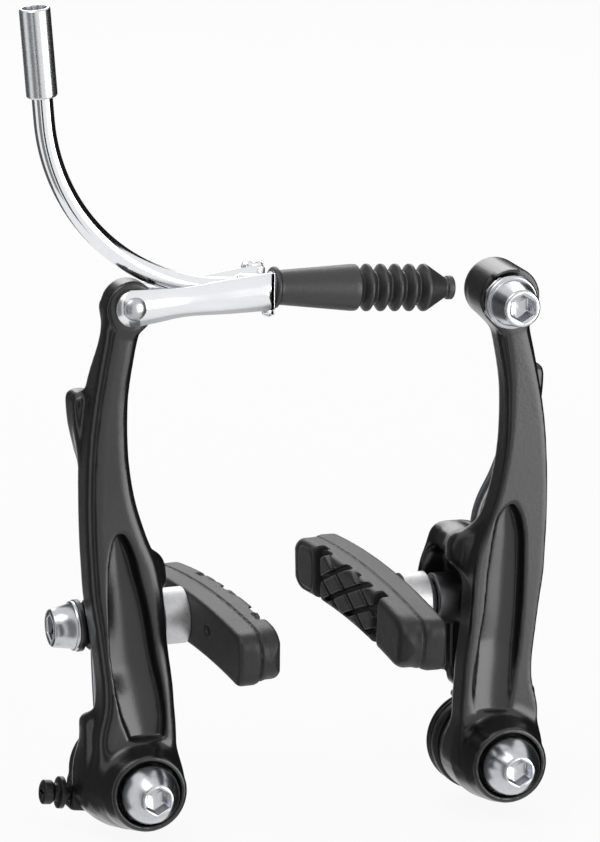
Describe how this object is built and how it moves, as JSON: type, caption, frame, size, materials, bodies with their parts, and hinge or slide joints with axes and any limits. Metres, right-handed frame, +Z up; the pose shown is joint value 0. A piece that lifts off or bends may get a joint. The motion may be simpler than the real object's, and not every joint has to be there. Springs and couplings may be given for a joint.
{
  "type": "linear-pull bicycle brake",
  "caption": "Linear-pull rim brake: left and right pivoting arms with return springs, pads on posts, cable link, curved guide tube and rubber boot.",
  "frame": {"origin": "on the left pivot axis, in the plane where the pivot bushes seat on the frame's bosses", "axes": "+X from the left pivot to the right pivot, +Y towards the bicycle's frame along the pivot bolts, +Z up the arms"},
  "size_m": [0.1186, 0.079, 0.177],
  "materials": {
    "arm_paint": "gloss black paint over a forged alloy arm",
    "plain_steel": "plain turned steel",
    "zinc_steel": "bright zinc plating",
    "dark_steel": "dark plated steel",
    "nylon": "moulded black nylon",
    "spring_wire": "drawn spring wire",
    "link_sheet": "polished folded sheet",
    "tube_metal": "polished bent tube",
    "liner": "low-friction polymer",
    "boot_rubber": "soft moulded rubber",
    "pad_rubber": "grainy moulded friction rubber"
  },
  "bodies": {
    "boss_side": {"left_pivot_bush": "plain_steel", "right_pivot_bush": "plain_steel", "left_pivot_bolt": "zinc_steel", "right_pivot_bolt": "zinc_steel", "left_spring_housing": "nylon", "right_spring_housing": "nylon", "left_return_spring": "spring_wire", "right_return_spring": "spring_wire"},
    "tension_screw": {"spring_tension_screw": "nylon"},
    "left_arm_body": {"left_arm": "arm_paint", "left_pad": "pad_rubber", "left_pad_stud": "plain_steel", "left_inner_cup": "dark_steel", "left_inner_spacer": "zinc_steel", "left_outer_cup": "dark_steel", "left_outer_spacer": "dark_steel", "left_pad_nut": "zinc_steel"},
    "right_arm_body": {"right_arm": "arm_paint", "anchor_bolt": "zinc_steel", "anchor_washer": "zinc_steel", "right_pad": "pad_rubber", "right_pad_stud": "plain_steel", "right_inner_cup": "dark_steel", "right_inner_spacer": "zinc_steel", "right_outer_cup": "dark_steel", "right_outer_spacer": "dark_steel", "right_pad_nut": "zinc_steel"},
    "link_body": {"link": "link_sheet", "link_rivet": "zinc_steel"},
    "noodle_body": {"noodle_tube": "tube_metal", "noodle_liner": "liner", "noodle_ferrule": "tube_metal", "noodle_nose": "tube_metal"},
    "boot_body": {"boot": "boot_rubber"}
  },
  "joints": [
    {"name": "left_arm_pivot", "type": "hinge", "parent": "boss_side", "child": "left_arm_body", "pos_m": [0, -0.0125, 0], "axis": [0, 1, 0], "range_deg": [-22, 3], "stiffness_Nm_per_rad": 3, "deforming": ["left_return_spring"]},
    {"name": "right_arm_pivot", "type": "hinge", "parent": "boss_side", "child": "right_arm_body", "pos_m": [0.08, -0.0125, 0], "axis": [0, -1, 0], "range_deg": [-22, 3], "stiffness_Nm_per_rad": 3, "deforming": ["right_return_spring"]},
    {"name": "link_pivot", "type": "hinge", "parent": "left_arm_body", "child": "link_body", "pos_m": [-0.00342, -0.01815, 0.10324], "axis": [0, 1, 0], "range_deg": [-40, 40]},
    {"name": "noodle_swivel", "type": "hinge", "parent": "link_body", "child": "noodle_body", "pos_m": [0.02708, -0.01815, 0.10511], "axis": [0.9983, 0, -0.0576], "range_deg": [-12, 12]},
    {"name": "boot_squeeze", "type": "slide", "parent": "noodle_body", "child": "boot_body", "axis": [-0.9983, 0, 0.0576], "range_m": [0, 0.012], "stiffness_N_per_m": 300, "deforming": ["boot"]},
    {"name": "spring_adjust", "type": "hinge", "parent": "boss_side", "child": "tension_screw", "pos_m": [-0.009, -0.004, -0.0048], "axis": [0.9945, 0, -0.1045], "range_deg": [-180, 180]}
  ]
}
